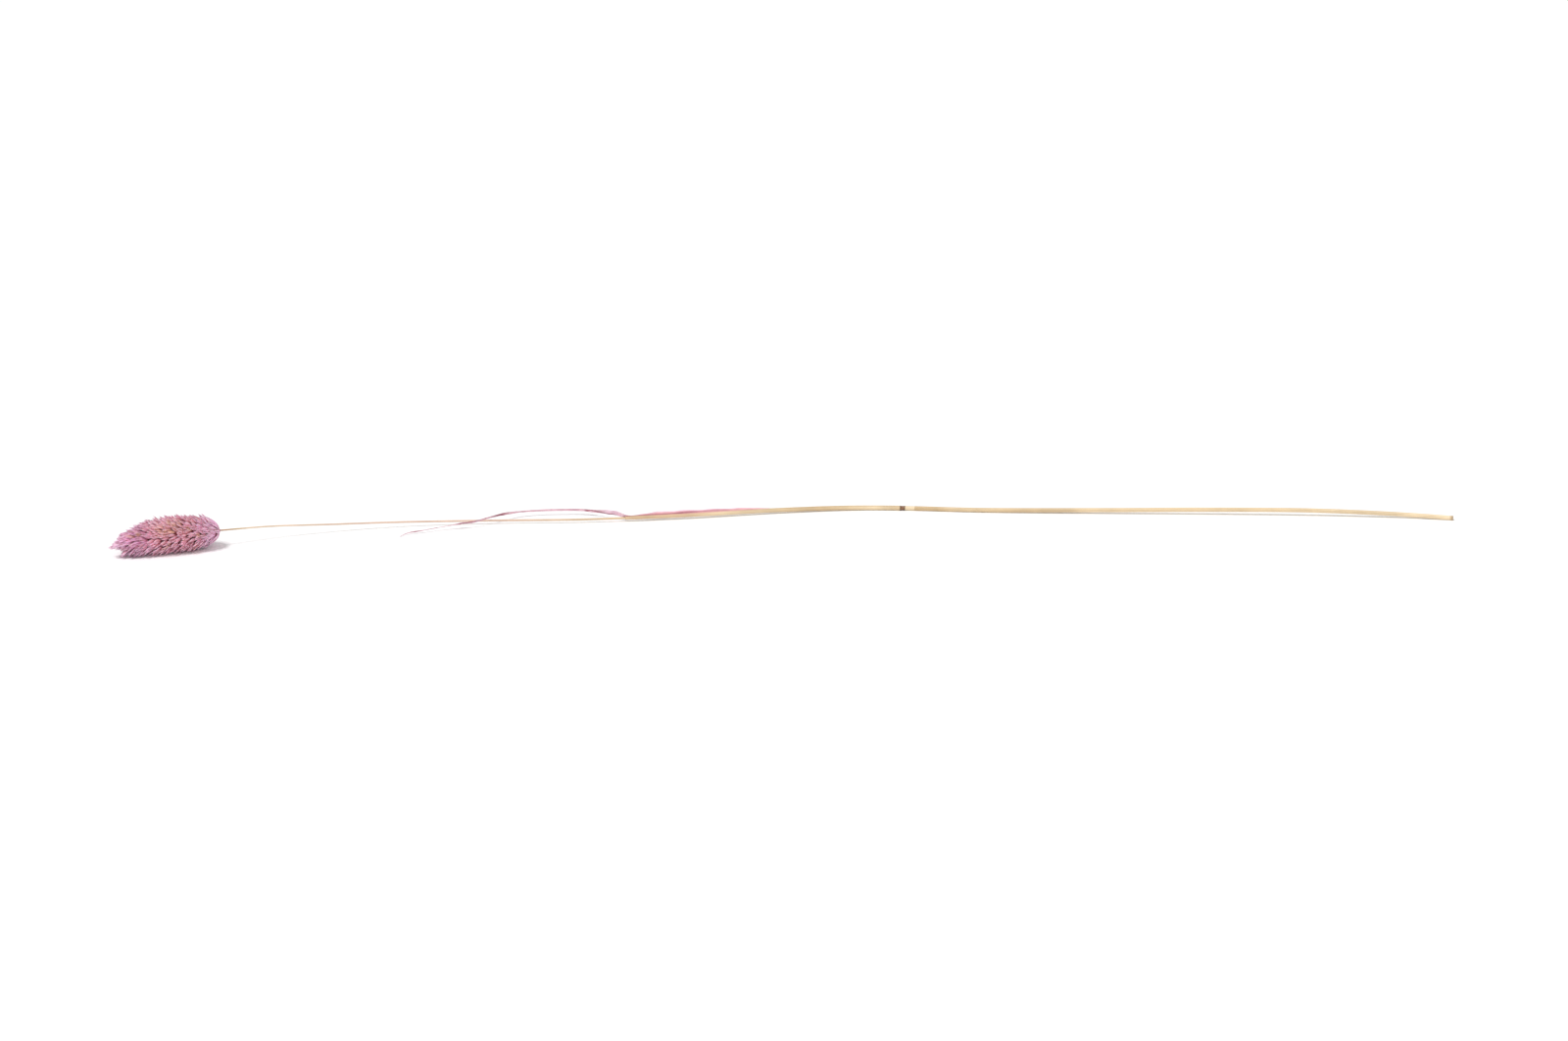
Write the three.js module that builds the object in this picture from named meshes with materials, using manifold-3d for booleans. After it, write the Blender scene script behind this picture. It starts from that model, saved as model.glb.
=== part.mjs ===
// One stem of dried, dyed phalaris (canary grass), lying on a flat surface at z = 0.
// Millimetres, +Z up. The seed head points to -X, and the cut end of the stem to +X.
// Pieces: the seed head, the culm with its node, the flag leaf (sheath and blade), and the
// sheath that is left of the lower leaf.
import * as THREE from 'three';
import { mergeVertices } from 'three/addons/utils/BufferGeometryUtils.js';
import Module from 'manifold-3d';

const wasm = await Module();
wasm.setup();

// The stem's centre line, from the tip of the head to the cut end. It lies in a slack bow, and touches
// the surface under the head, at the node and at the cut end.
const CENTRE_LINE = [
  [-316, -58.4, 5.2], [-306.5, -52.8, 6.9], [-293.6, -48.3, 8], [-280.5, -44.2, 8.4], [-266.6, -39.6, 8],
  [-245, -29, 6.5], [-218, -19, 4.2], [-184, -10.4, 2.6], [-142, -5.6, 1.8],
  [-95, -3.4, 1.7], [-48, 2.4, 1.9], [0, 11.6, 1.7], [33, 16, 1.35], [58, 16.2, 1.15],
  [95, 13, 1.2], [157, 10.5, 1.9], [205, 9.3, 2.5], [257, 7.2, 2.75], [299, 4, 1.85], [324, 0.6, 1.07],
];

// Places along the centre line, counted from the tip of the head.
const HEAD_LENGTH = 54;
const NODE_AT = 384.5;
const COLLAR_AT = 249;
const LOWER_SHEATH_AT = NODE_AT + 6.2;

// The culm.
const CULM_SIDES = 10;
const CULM_STEP = 8;
const NECK_R = 0.36;
const COLLAR_R = 0.54;
const SHEATHED_R = 0.74;
const NODE_R = 1.12;
const NODE_WAIST_R = 1.02;
const NODE_WAIST_HALF = 0.6;
const NODE_HALF = 1.9;
const BARE_R = 1.0;
const BARE_FROM = NODE_AT + 3.2;
const LOWER_R = 0.66;
const HOLLOW_R = 0.36;
const HOLLOW_DEPTH = 6;

// The leaf sheaths. Angles go round the stem from its underside, past the front.
const SHEATH_WALL = 0.3;
const SHEATH_GAP = 0.1;
const PIECE_GAP = 0.3;
const SHEATH_COLUMNS = 9;
const SLIT_WIDTH = 0.45;
const FLAG_SLIT_ANGLE = 2.55;
const LOWER_SLIT_ANGLE = 1.95;
const MARGIN_FLARE = [[252, 0], [262, 0.45], [272, 0.85], [288, 0.9], [300, 0.55], [318, 0]];
const NO_FLARE = [[0, 0]];

// The blade, with its taper and its twist in degrees as [share of its length, value].
const BLADE_LINE = [
  [-81, 0.8, 3.1], [-86, 3.1, 3.4], [-91.5, 6.4, 3.3], [-98, 8.3, 3], [-108, 8.4, 2.8],
  [-119, 7.6, 2.65], [-128.5, 4.7, 2.9], [-135.5, -0.2, 3.35], [-142, -6.4, 3.6], [-148.5, -11, 3.1],
  [-156, -13, 2.4], [-165, -15.8, 1.7], [-174, -19.6, 1.2], [-180, -22, 0.85], [-183.5, -26, 0.34],
];
const BLADE_ROOT_ANGLE = 4.19;
const BLADE_ROOTS = [[3, 0.17], [0.5, 0.25]];
const BLADE_WIDTH = 2.3;
const BLADE_THICK = 0.6;
const BLADE_POINT = 0.25;
const BLADE_FOLD = 0.35;
const BLADE_STEPS = 44;
const BLADE_TAPER = [
  [0, 0.3], [0.03, 0.7], [0.07, 1], [0.14, 0.95], [0.22, 0.72],
  [0.6, 0.62], [0.85, 0.45], [0.96, 0.28], [1, 0.12],
];
const BLADE_TWISTS = [
  [0, -60], [0.05, -52], [0.14, 12], [0.3, 40], [0.44, 20], [0.56, 66], [0.66, 20], [0.8, 58], [1, 8],
];

// The head's core, as [distance from the tip, radius], and the socket in it for the culm.
const CORE_SIDES = 12;
const CORE_PROFILE = [
  [3.6, 0.9], [5.5, 2.5], [9, 3.6], [15, 4.5], [22, 5.2], [30, 5.5],
  [37, 5.3], [43, 4.6], [48, 3.4], [51.5, 2], [53.6, 0.9],
];
const SOCKET_DEPTH = 2.5;

// The spikelets, with their lean in degrees and their length as [share of the way to the neck, value].
const SPIKELETS = 290;
const SPIKELET_LENGTH = 6.8;
const SPIKELET_WIDTH = 2.7;
const SPIKELET_DEPTH = 1.6;
const SPIKELET_SUNK = 1;
const SPIKELET_BOW = 0.012;
const SPIKELET_LEANS = [[0, 8], [0.08, 22], [0.25, 32], [0.6, 38], [0.8, 46], [0.92, 60], [1, 82]];
const SPIKELET_LENGTHS = [[0, 0.9], [0.1, 1], [0.75, 1], [0.9, 0.78], [1, 0.42]];
const LAST_SPIKELET_AT = HEAD_LENGTH - 1.4;
const CROWDING = 0.84;
const JITTER = { at: 0.4, angle: 0.12, lean: 5, length: 0.09, roll: 0.4 };
const GOLDEN_ANGLE = Math.PI * (3 - Math.sqrt(5));

const STRAW = 0xd9bf90;
const DYED_HEAD = 0xc08a9c;
const DYED_LEAF = 0xd6a9bd;

const UP = new THREE.Vector3(0, 0, 1);
const centreLine = smoothCurve(CENTRE_LINE);
const STEM_END = centreLine.getLength();

function smoothCurve(points) {
  const stops = points.map((point) => new THREE.Vector3(...point));
  const curve = new THREE.CatmullRomCurve3(stops, false, 'centripetal');
  curve.arcLengthDivisions = 1200;
  return curve;
}

// A frame on the curve at a share of its length: side is level, lift points away from the surface.
function frameAt(curve, share) {
  const u = THREE.MathUtils.clamp(share, 0, 1);
  const origin = curve.getPointAt(u);
  const along = curve.getTangentAt(u);
  const side = new THREE.Vector3().crossVectors(along, UP).normalize();
  const lift = new THREE.Vector3().crossVectors(side, along);
  return { origin, along, side, lift };
}

// A point beside the centre line: distance along it, radius, and angle from the downward side.
function besideStem(at, radius, angle) {
  const { origin, side, lift } = frameAt(centreLine, at / STEM_END);
  origin.addScaledVector(side, radius * Math.sin(angle));
  return origin.addScaledVector(lift, -radius * Math.cos(angle));
}

// A draw between -1 and 1 that is the same for the same whole numbers every time.
function draw(index, kind) {
  const wave = Math.sin(index * 12.9898 + kind * 78.233) * 43758.5453;
  return 2 * (wave - Math.floor(wave)) - 1;
}

// A value read off a list of [place, value] pairs, in a straight line between neighbours.
function valueAt(pairs, place) {
  const next = pairs.findIndex(([stop]) => stop >= place);
  if (next < 0) return pairs[pairs.length - 1][1];
  if (next === 0) return pairs[0][1];
  const [[from, low], [to, high]] = pairs.slice(next - 1, next + 1);
  return THREE.MathUtils.mapLinear(place, from, to, low, high);
}

function range(from, to, step) {
  const count = Math.max(1, Math.round((to - from) / step));
  return Array.from({ length: count + 1 }, (_, i) => from + ((to - from) * i) / count);
}

function solidFrom(geometry) {
  const bare = geometry.clone();
  bare.deleteAttribute('normal');
  bare.deleteAttribute('uv');
  const merged = mergeVertices(bare, 1e-4);
  return new wasm.Manifold(new wasm.Mesh({
    numProp: 3,
    vertProperties: merged.attributes.position.array,
    triVerts: new Uint32Array(merged.index.array),
  }));
}

function geometryFrom(solid) {
  const { numProp, vertProperties, triVerts } = solid.getMesh();
  const positions = new Float32Array((vertProperties.length / numProp) * 3);
  for (let i = 0; i < positions.length / 3; i++) {
    positions.set(vertProperties.subarray(i * numProp, i * numProp + 3), i * 3);
  }
  const geometry = new THREE.BufferGeometry();
  geometry.setAttribute('position', new THREE.BufferAttribute(positions, 3));
  geometry.setIndex(new THREE.BufferAttribute(triVerts, 1));
  geometry.computeVertexNormals();
  return geometry;
}

// Solids joined into one, with any pocket that they seal off inside it filled in.
function grownTogether(solids) {
  const shells = wasm.Manifold.union(solids).decompose();
  return shells.reduce((outer, shell) => (shell.volume() > outer.volume() ? shell : outer));
}

// A body of revolution whose profile holds [distance along the stem, radius], bent along the stem.
function turnedOnStem(profile, sides) {
  const outline = profile.map(([at, radius]) => new THREE.Vector2(radius, at));
  const geometry = new THREE.LatheGeometry(outline, sides);
  const position = geometry.attributes.position;
  for (let i = 0; i < position.count; i++) {
    const x = position.getX(i);
    const z = position.getZ(i);
    const bent = besideStem(position.getY(i), Math.hypot(x, z), Math.atan2(-x, z));
    position.setXYZ(i, bent.x, bent.y, bent.z);
  }
  return geometry;
}

// A closed plate between two like grids of points, face and back, each a list of rows.
function plate(face, back) {
  const rows = face.length;
  const columns = face[0].length;
  const corners = [...face.flat(), ...back.flat()];
  const number = (layer, row, column) => (layer * rows + row) * columns + column;
  const triangles = [];
  const quad = (...places) => {
    const [a, b, c, d] = places.map((place) => number(...place));
    triangles.push(a, c, b, a, d, c);
  };
  const [lastRow, lastColumn] = [rows - 1, columns - 1];
  for (let r = 0; r < lastRow; r++) {
    for (let c = 0; c < lastColumn; c++) {
      quad([0, r, c], [0, r, c + 1], [0, r + 1, c + 1], [0, r + 1, c]);
      quad([1, r, c], [1, r + 1, c], [1, r + 1, c + 1], [1, r, c + 1]);
    }
    quad([0, r, 0], [0, r + 1, 0], [1, r + 1, 0], [1, r, 0]);
    quad([0, r, lastColumn], [1, r, lastColumn], [1, r + 1, lastColumn], [0, r + 1, lastColumn]);
  }
  for (let c = 0; c < lastColumn; c++) {
    quad([0, 0, c], [1, 0, c], [1, 0, c + 1], [0, 0, c + 1]);
    quad([0, lastRow, c], [0, lastRow, c + 1], [1, lastRow, c + 1], [1, lastRow, c]);
  }
  const geometry = new THREE.BufferGeometry().setFromPoints(corners);
  geometry.setIndex(triangles);
  return geometry;
}

// The culm in one piece, with the node's swelling and a blind bore in its cut end. It is slimmer where a
// leaf sheath wraps it.
function culm() {
  const top = HEAD_LENGTH - SOCKET_DEPTH + PIECE_GAP;
  const shoulder = NODE_AT - NODE_HALF;
  const hollow = STEM_END - HOLLOW_DEPTH;
  const bare = range(top, COLLAR_AT, CULM_STEP);
  const sheathed = range(COLLAR_AT + CULM_STEP, shoulder, CULM_STEP).slice(0, -1);
  const profile = [
    [top, 0],
    ...bare.map((at) => [at, THREE.MathUtils.mapLinear(at, top, COLLAR_AT, NECK_R, COLLAR_R)]),
    ...sheathed.map((at) => [at, THREE.MathUtils.mapLinear(at, COLLAR_AT, shoulder, COLLAR_R, SHEATHED_R)]),
    [shoulder - PIECE_GAP, SHEATHED_R], [shoulder, NODE_R],
    [NODE_AT - NODE_WAIST_HALF, NODE_WAIST_R], [NODE_AT + NODE_WAIST_HALF, NODE_WAIST_R],
    [NODE_AT + NODE_HALF, NODE_R], [BARE_FROM, BARE_R], [LOWER_SHEATH_AT - PIECE_GAP, BARE_R],
    ...range(LOWER_SHEATH_AT, STEM_END, CULM_STEP).map((at) => [at, LOWER_R]),
    [STEM_END, HOLLOW_R], [hollow, HOLLOW_R], [hollow, 0],
  ];
  return turnedOnStem(profile, CULM_SIDES);
}

// A leaf sheath: a thin wall rolled round the culm, open along a slit. radiusAt gives the bore's radius
// at a distance along the stem, and flare lifts the upper margin off the culm.
function rolledSheath(from, to, slitAngle, radiusAt, flare) {
  const start = slitAngle + SLIT_WIDTH / 2;
  const turn = 2 * Math.PI - SLIT_WIDTH;
  const face = [];
  const back = [];
  for (const at of range(from, to, CULM_STEP)) {
    const wall = (radius) => Array.from({ length: SHEATH_COLUMNS + 1 }, (_, i) => {
      const lifted = valueAt(flare, at) * Math.max(0, 1 - i / 2);
      return besideStem(at, radius + lifted, start + (turn * i) / SHEATH_COLUMNS);
    });
    face.push(wall(radiusAt(at) + SHEATH_WALL));
    back.push(wall(radiusAt(at)));
  }
  return solidFrom(plate(face, back));
}

// The blade: a narrow ribbon, folded on its midrib, that twists as it dries and ends in a point.
function leafBlade() {
  const bore = COLLAR_R + SHEATH_GAP;
  const roots = BLADE_ROOTS.map(([at, out]) => besideStem(COLLAR_AT + at, bore + out, BLADE_ROOT_ANGLE));
  const line = smoothCurve([...roots.map((point) => point.toArray()), ...BLADE_LINE]);
  const face = [];
  const back = [];
  for (let i = 0; i <= BLADE_STEPS; i++) {
    const share = i / BLADE_STEPS;
    const { origin, side, lift } = frameAt(line, share);
    const turn = THREE.MathUtils.degToRad(valueAt(BLADE_TWISTS, share));
    const across = side.clone().multiplyScalar(Math.cos(turn)).addScaledVector(lift, Math.sin(turn));
    const out = lift.clone().multiplyScalar(Math.cos(turn)).addScaledVector(side, -Math.sin(turn));
    const taper = valueAt(BLADE_TAPER, share);
    const half = (BLADE_WIDTH / 2) * taper;
    const thick = BLADE_THICK * Math.min(1, BLADE_POINT + taper);
    const fold = BLADE_FOLD * taper;
    const row = (rise) => [1, 0, -1].map((place) => origin.clone()
      .addScaledVector(across, place * half)
      .addScaledVector(out, rise + (place === 0 ? fold : 0)));
    face.push(row(thick / 2));
    back.push(row(-thick / 2));
  }
  return solidFrom(plate(face, back));
}

// The flag leaf in one piece: its sheath round the culm above the node, and the blade from the collar.
function flagLeaf() {
  const base = NODE_AT - NODE_HALF - PIECE_GAP;
  const bore = (at) => SHEATH_GAP + THREE.MathUtils.mapLinear(at, COLLAR_AT, base, COLLAR_R, SHEATHED_R);
  const sheath = rolledSheath(COLLAR_AT, base, FLAG_SLIT_ANGLE, bore, MARGIN_FLARE);
  return geometryFrom(grownTogether([sheath, leafBlade()]));
}

// What is left of the leaf below: its sheath, cut through with the culm.
function lowerSheath() {
  const bore = () => LOWER_R + SHEATH_GAP;
  return geometryFrom(rolledSheath(LOWER_SHEATH_AT, STEM_END, LOWER_SLIT_ANGLE, bore, NO_FLARE));
}

// The head's core, with a socket for the top of the culm.
function headCore() {
  const [first] = CORE_PROFILE[0];
  const seat = HEAD_LENGTH - SOCKET_DEPTH;
  const bore = NECK_R + SHEATH_GAP;
  const profile = [[first, 0], ...CORE_PROFILE, [HEAD_LENGTH, bore], [seat, bore], [seat, 0]];
  return solidFrom(turnedOnStem(profile, CORE_SIDES));
}

// A pointed spikelet along +Y with its foot at the origin: three-sided, with a keel towards +Z.
function spikeletShape(length) {
  const profile = [[0, -SPIKELET_SUNK], [0.53, 0.24 * length], [0.47, 0.58 * length], [0, length]];
  const geometry = new THREE.LatheGeometry(profile.map(([radius, y]) => new THREE.Vector2(radius, y)), 3);
  return geometry.scale(SPIKELET_WIDTH, 1, SPIKELET_DEPTH);
}

// One spikelet set on the core. They follow a golden-angle spiral, lean to the tip and bow in to the axis.
function spikelet(index) {
  const share = (index + 0.5) / SPIKELETS;
  const seat = THREE.MathUtils.lerp(CORE_PROFILE[0][0], LAST_SPIKELET_AT, share ** CROWDING);
  const at = seat + JITTER.at * draw(index, 1);
  const angle = index * GOLDEN_ANGLE + JITTER.angle * draw(index, 2);
  const lean = THREE.MathUtils.degToRad(valueAt(SPIKELET_LEANS, share) + JITTER.lean * draw(index, 3));
  const length = SPIKELET_LENGTH * valueAt(SPIKELET_LENGTHS, share) * (1 + JITTER.length * draw(index, 4));
  const roll = JITTER.roll * draw(index, 5);

  const { origin, along } = frameAt(centreLine, at / STEM_END);
  const outward = besideStem(at, 1, angle).sub(origin);
  const forward = along.clone().multiplyScalar(-Math.cos(lean)).addScaledVector(outward, Math.sin(lean));
  const keel = outward.clone().multiplyScalar(Math.cos(lean)).addScaledVector(along, Math.sin(lean));
  const across = new THREE.Vector3().crossVectors(forward, keel);
  const foot = besideStem(at, valueAt(CORE_PROFILE, at), angle);

  const shape = spikeletShape(length).rotateY(-roll);
  const position = shape.attributes.position;
  for (let i = 0; i < position.count; i++) {
    const y = position.getY(i);
    const z = position.getZ(i) - SPIKELET_BOW * Math.max(0, y) ** 2;
    const point = foot.clone().addScaledVector(across, position.getX(i));
    point.addScaledVector(forward, y).addScaledVector(keel, z);
    position.setXYZ(i, point.x, point.y, point.z);
  }
  return solidFrom(shape);
}

// The seed head in one piece, with the spikelets that it lies on flattened by the surface.
function seedHead() {
  const spikelets = Array.from({ length: SPIKELETS }, (_, i) => spikelet(i));
  const head = grownTogether([headCore(), ...spikelets]);
  return geometryFrom(head.trimByPlane(UP.toArray(), 0));
}

function piece(name, geometry, color, roughness) {
  const mesh = new THREE.Mesh(geometry, new THREE.MeshStandardMaterial({ color, roughness, metalness: 0 }));
  mesh.name = name;
  return mesh;
}

const phalaris = new THREE.Group();
phalaris.add(
  piece('seed_head', seedHead(), DYED_HEAD, 0.85),
  piece('culm', culm(), STRAW, 0.5),
  piece('flag_leaf', flagLeaf(), DYED_LEAF, 0.7),
  piece('lower_sheath', lowerSheath(), STRAW, 0.55),
);

// The origin is under the middle of the whole stem, on the surface that it lies on.
const extent = new THREE.Box3().setFromObject(phalaris);
const middle = extent.getCenter(new THREE.Vector3());
phalaris.position.set(-middle.x, -middle.y, -extent.min.z);

export default phalaris;
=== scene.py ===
"""One stem of dried, dyed phalaris (canary grass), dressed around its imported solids.

The fine pieces follow the solids' centre line and the same frames along it. The spikelets turn
round the head by the golden angle, as the solid's do, but there are more of them. The tables are
in millimetres, before the part is moved to its own origin, and make_piece turns them to metres in
the part's frame. A place on the stem is its distance from the head's tip. An angle round the stem
starts at its underside and passes the front.
"""

import math

import bmesh
import bpy
import numpy as np
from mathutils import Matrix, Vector


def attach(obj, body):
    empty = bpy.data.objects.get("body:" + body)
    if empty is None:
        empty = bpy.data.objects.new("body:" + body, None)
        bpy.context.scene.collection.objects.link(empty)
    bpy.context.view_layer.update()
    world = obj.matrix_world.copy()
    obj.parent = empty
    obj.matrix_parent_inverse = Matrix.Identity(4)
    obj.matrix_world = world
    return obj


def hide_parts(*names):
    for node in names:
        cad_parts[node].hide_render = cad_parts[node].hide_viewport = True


bl_info = {
    "name": "Dried Phalaris Grass",
    "version": (1, 0, 0),
    "blender": (4, 5, 0),
    "location": "View3D > Sidebar > Phalaris",
    "description": "Builds one dyed, dried stem of phalaris grass around its solids",
    "category": "Add Mesh",
}

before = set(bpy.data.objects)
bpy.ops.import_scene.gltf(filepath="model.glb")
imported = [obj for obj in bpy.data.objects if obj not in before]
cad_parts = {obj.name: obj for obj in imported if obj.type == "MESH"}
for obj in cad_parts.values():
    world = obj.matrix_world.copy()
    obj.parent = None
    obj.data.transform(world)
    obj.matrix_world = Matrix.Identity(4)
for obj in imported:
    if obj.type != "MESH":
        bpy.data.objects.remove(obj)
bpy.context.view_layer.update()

MM = 0.001
BODY = "root"

# Points this close are welded.
WELD = 0.0003

# Where the part's origin lies, in the tables' millimetres: under the middle of the whole stem.
PART_ORIGIN = np.array([2.8417, -22.1829, 0.0])

# The stem's centre line, from the tip of the head to the cut end.
CENTRE_LINE = [
    (-316, -58.4, 5.2), (-306.5, -52.8, 6.9), (-293.6, -48.3, 8), (-280.5, -44.2, 8.4),
    (-266.6, -39.6, 8), (-245, -29, 6.5), (-218, -19, 4.2), (-184, -10.4, 2.6),
    (-142, -5.6, 1.8), (-95, -3.4, 1.7), (-48, 2.4, 1.9), (0, 11.6, 1.7), (33, 16, 1.35),
    (58, 16.2, 1.15), (95, 13, 1.2), (157, 10.5, 1.9), (205, 9.3, 2.5), (257, 7.2, 2.75),
    (299, 4, 1.85), (324, 0.6, 1.07),
]
HEAD_LENGTH = 54
COLLAR_AT = 249
NODE_AT = 384.5
LOWER_SHEATH_AT = NODE_AT + 6.2

# The head's core as (place, radius).
CORE_PROFILE = [
    (3.6, 0.3), (5, 0.9), (6.6, 2), (9, 3.1), (12, 4), (15, 4.5), (22, 5.2), (30, 5.5),
    (37, 5.3), (43, 4.6), (48, 3.4), (51.5, 1.7), (52.8, 0.6),
]
CORE_SIDES = 32

# The spikelets. The tables go by a spikelet's share of the way from the tip to the neck: its lean
# out from the stem in degrees, its length and width as shares of the full size, and its bow.
SPIKELETS = 600
SPIKELET_SUNK = 1
SPIKELET_LEANS = [
    (0, 3), (0.02, 8), (0.06, 18), (0.15, 31), (0.25, 40), (0.6, 50), (0.8, 55), (0.9, 60), (1, 67),
]
SPIKELET_LENGTHS = [
    (0, 0.98), (0.018, 0.96), (0.026, 0.84), (0.06, 0.9), (0.12, 0.95), (0.25, 0.91), (0.78, 0.92),
    (0.88, 1.04), (1, 1.08),
]
SPIKELET_WIDTHS = [(0, 0.9), (0.1, 1), (0.8, 1), (0.92, 0.8), (1, 0.72)]
SPIKELET_BOWS = [(0, 0.006), (0.75, 0.014), (0.88, 0.04), (1, 0.056)]
SPIKELET_SWEEP = 15
FIRST_SPIKELET_AT = 5
LAST_SPIKELET_AT = 52.6
CROWDING = 0.84
GOLDEN_ANGLE = math.pi * (3 - math.sqrt(5))

# Spreads one value a spikelet over a grid of (spikelets, glumes, rows, columns).
EACH = (slice(None), None, None, None)

# Spikelets that point up end at this height, which keeps them inside the solid's box.
HEAD_TOP = 17.3

# The most that a draw changes each of a spikelet's values.
JITTER_AT, JITTER_ANGLE, JITTER_LEAN, JITTER_LENGTH, JITTER_ROLL = 0.5, 0.14, 9, 0.16, 0.85
JITTER_BOW, JITTER_SWEEP = 0.012, 16

# The head's tip parts into two tufts, as the camera sees it. A tuft's lean, in degrees, is added
# and fades between two shares. Lengths between the tufts go by how far a spikelet's side of the
# stem faces up in the picture, from -1 to 1, and the first few below the gap are short.
SEEN_UP = np.array([0, 0.31, 0.95])
UPPER_TUFT_LEAN, UPPER_TUFT_FADES = -16, (0.1, 0.3)
LOWER_TUFT_LEAN, LOWER_TUFT_FADES = 22, (0.1, 0.26)
UPPER_TUFT_ANGLE = math.pi + 0.4
UPPER_TUFT_THINNER = 0.2
PARTING_LENGTHS = [(-1, 1.2), (-0.85, 1.15), (-0.65, 0.5), (-0.3, 0.5), (-0.1, 1), (1, 1)]
PARTING_FADES = (0.05, 0.13)
PARTING_FIRST, PARTING_BELOW, PARTING_SHORT = 0.03, -0.3, 0.5

# How much longer the spikelets of the lower side are, by share.
LOWER_GROWTH = [(0.08, 0), (0.16, 0.16), (0.6, 0.14), (0.8, 0.09), (0.9, 0)]

# One glume: its outline, its swelling and its wing by the share along it, and its places from the
# back margin (-1) round the keel (0) to the front margin (1).
GLUME_ROWS = 7
GLUME_PLACES = [-1, -0.4, -0.07, 0.07, 0.5, 1]
GLUME_OUTLINE = [(0, 0.25), (0.15, 0.6), (0.34, 0.95), (0.52, 1), (0.7, 0.76), (0.86, 0.34), (1, 0)]
GLUME_SWELLING = [(0, 0.4), (0.25, 0.9), (0.5, 1), (0.75, 0.6), (1, 0.02)]
KEEL_WING = [(0, 0), (0.35, 0.35), (0.6, 1), (0.8, 0.85), (1, 0)]
WING_WIDTH = 0.2
FRONT_SWELL = 0.64
BACK_SWELL = 0.34
GLUME_SPREAD, JITTER_SPREAD = 0.35, 0.3
TIPS_APART, JITTER_TIPS = 0.12, 0.3
SECOND_SHORTER, JITTER_UNEVEN = 0.08, 0.06

# A pair's glumes stay this far from the middle between them, so that they share no edge.
GLUME_APART = 0.02

# The floret as shares of its spikelet's length and width, and half its thickness.
FLORET_LENGTH, FLORET_WIDTH, FLORET_R = 0.74, 0.26, 0.42

# The hairs: the glume rows that they stand on, their radius at the foot, and which of the glume's
# places are its keel and its margins.
HAIR_ROWS = [2, 3, 4, 5]
HAIR_R = 0.02
KEEL_COLUMNS = slice(2, 4)
MARGIN_COLUMNS = [0, 5]

# The glumes' colours by share of the head's length: how lilac they are, and how much of the pale
# edge colour they have all round, on the upper side and on the lower side. The pale on the upper
# and lower sides is painted light, on the glumes that face up and down as the camera sees them.
LILAC_SHARES = [(0.16, 1), (0.5, 0), (0.74, 0), (0.95, 0.85)]
PALE_SHARES = [(0.06, 0.86), (0.22, 0.04), (0.74, 0.04), (0.94, 0.42)]
PAINTED_LIGHT_ABOVE = [(0.4, 0.34), (0.75, 0)]
PAINTED_LIGHT_BELOW = [(0.3, 0.3), (0.6, 0)]
UNDYED_PLACE, UNDYED_REACH, UNDYED_ANGLE = 0.56, 0.12, 2.4

# The culm as (place, radius). Its dark node lies between two rims.
COLLAR_R = 0.54
NODE_R = 0.74
RING_AT = NODE_AT + 0.7
CULM_PROFILE = [
    (HEAD_LENGTH - 2.2, 0.36), (COLLAR_AT, COLLAR_R), (NODE_AT - 2.2, NODE_R), (RING_AT - 1.6, 0.9),
    (RING_AT - 1.3, 1.11), (RING_AT - 1.1, 1.12), (RING_AT - 0.6, 1.04), (RING_AT, 0.99),
    (RING_AT + 0.6, 1.04), (RING_AT + 1.1, 1.12), (RING_AT + 1.35, 1.1), (RING_AT + 2.6, 1),
    (LOWER_SHEATH_AT + 0.6, 1), (LOWER_SHEATH_AT + 1, 0.66), (1000, 0.66),
]
CULM_SIDES = 24
CULM_STEP = 1.5
NODE_STEP = 0.1

# The cut end as (distance past it, radius), from its rim to the middle of the hollow's floor.
CUT_END = [(0, 0.61), (0, 0.42), (-0.15, 0.36), (-6, 0.36), (-6, 0)]

# The brown of the node as (distance from its ring, share of the colour).
NODE_SHADES = [(-1.25, 0.7), (-0.9, 0.85), (-0.5, 1.4), (0.5, 1.3), (0.9, 0.8), (1.2, 0.7)]

# The straw of the two sheaths as (distance from the mouth, shade) and of the last stretch as
# (distance from the cut end, shade): 1 is the dark straw, 0 the straw and -1 the pale straw.
FLAG_SHADES = [(48, -0.6), (66, -0.5), (75, 0.1), (98, 0.45), (108, 0), (121.5, -1), (133.5, 0)]
LOWER_SHADES = [
    (0, 0.7), (12, 0.6), (18, -0.2), (36, -0.1), (50, 0.2), (76, 0), (86, -0.3), (125, -0.1),
    (165, -0.2),
]
END_SHADES = [(-32, -0.7), (-0.7, -1)]

# The leaf sheaths, and the flag sheath's lifted margin as (place, share of its width).
SHEATH_GAP = 0.1
SHEATH_OVERLAP = 0.45
FLAG_MARGIN_ANGLE = 2.55
LOWER_MARGIN_ANGLE = 1.95
ROLLED_EDGE = 0.05
MARGIN_WALL = 0.1
MARGIN_ANGLE = 3.05
MARGIN_CURL = 0.45
MARGIN_WIDTH = 1.75
MARGIN_FLARE = [
    (252, 0), (260, 0.42), (265, 0.8), (277, 0.8), (287, 0.72), (304, 0.6), (312, 0.35), (320, 0),
]
LIGULE_WALL = 0.06
LIGULE_REACH = 1.7
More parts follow.
